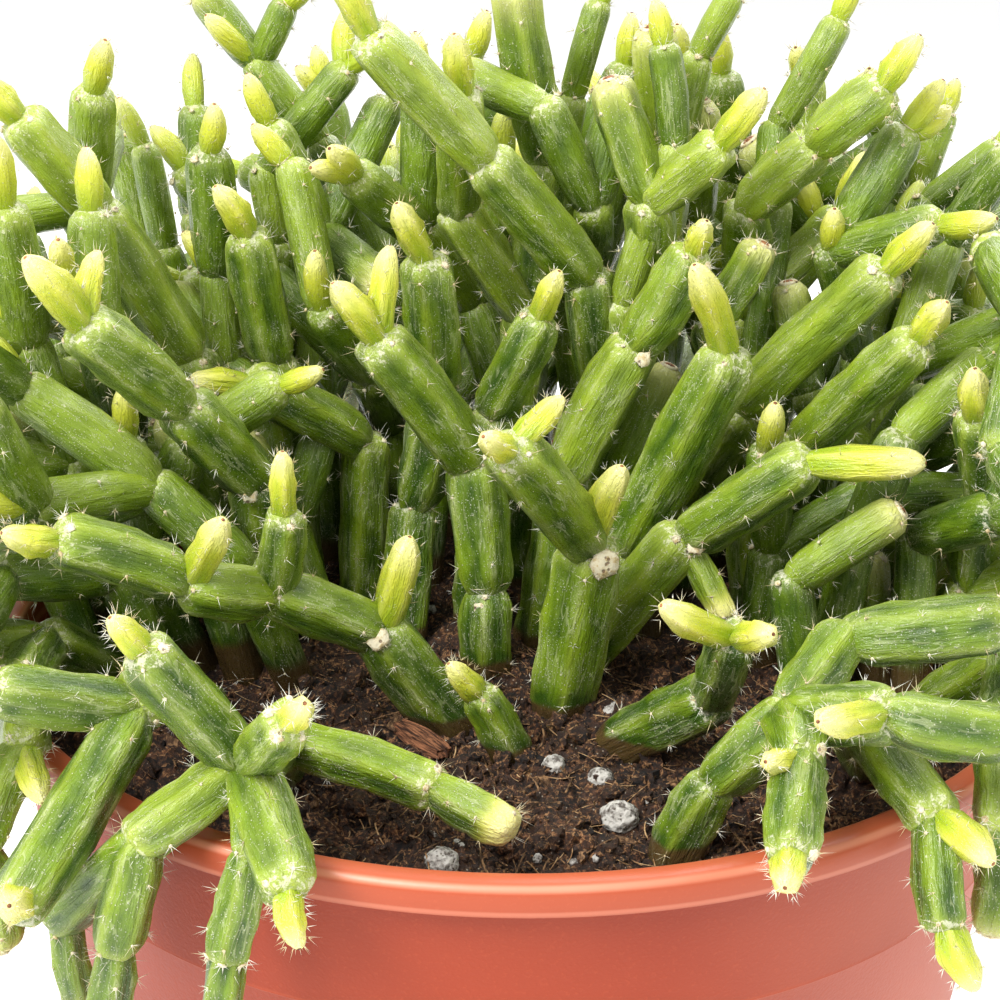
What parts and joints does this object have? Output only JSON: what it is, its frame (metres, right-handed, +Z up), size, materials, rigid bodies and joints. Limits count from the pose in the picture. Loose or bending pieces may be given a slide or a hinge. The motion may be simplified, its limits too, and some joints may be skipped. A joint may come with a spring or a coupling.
{
  "type": "potted rhipsalis",
  "caption": "Bushy leafless jointed cactus with arching segmented stems and young tips, growing from soil in a round tapered plastic nursery pot that stands on its flat foot.",
  "frame": {"origin": "middle of the flat underside of the pot's foot", "axes": "+Z up, along the pot's axis; -Y towards the viewer of the picture, where the soil lies open; +X to that viewer's right"},
  "size_m": [0.1739, 0.1568, 0.177],
  "materials": {
    "pot": "terracotta-coloured moulded plastic with a faint stipple and a glossier lip",
    "soil": "damp dark potting mix, crumbly and fibrous",
    "stem": "satin waxy green skin with pale streaks, corky joints and yellow-green young tips",
    "perlite": "rough white foamed grain with dark pits",
    "bark": "rough red-brown bark splinter"
  },
  "bodies": {
    "root": {"bark_chip": "bark", "perlite_grain_by_post": "perlite", "perlite_grain_chip": "perlite", "perlite_grain_large": "perlite", "perlite_grain_middle": "perlite", "perlite_grain_rim": "perlite", "pot": "pot", "soil": "soil", "stem_arm_left": "stem", "stem_back_spire": "stem", "stem_crown_middle": "stem", "stem_crown_right": "stem", "stem_dark_upright": "stem", "stem_drape_right": "stem", "stem_front_left": "stem", "stem_front_post": "stem", "stem_front_right": "stem", "stem_grown_00": "stem", "stem_grown_01": "stem", "stem_grown_02": "stem", "stem_grown_03": "stem", "stem_grown_04": "stem", "stem_grown_05": "stem", "stem_grown_06": "stem", "stem_grown_07": "stem", "stem_grown_08": "stem", "stem_grown_09": "stem", "stem_grown_10": "stem", "stem_grown_11": "stem", "stem_grown_12": "stem", "stem_grown_13": "stem", "stem_grown_14": "stem", "stem_grown_15": "stem", "stem_grown_16": "stem", "stem_grown_17": "stem", "stem_grown_18": "stem", "stem_grown_19": "stem", "stem_grown_20": "stem", "stem_grown_21": "stem", "stem_grown_22": "stem", "stem_high_left": "stem", "stem_left_inner": "stem", "stem_left_level": "stem", "stem_left_middle": "stem", "stem_left_rise": "stem", "stem_left_tall": "stem", "stem_long_right": "stem", "stem_middle": "stem", "stem_right_lower": "stem", "stem_right_reach": "stem", "stem_right_short": "stem", "stem_right_side": "stem", "stem_shadow_right": "stem", "stem_short_middle": "stem", "stem_spill_left": "stem", "stem_spill_right": "stem", "stem_trail_left": "stem", "stem_trail_right": "stem", "stem_young_front": "stem"}
  },
  "joints": []
}
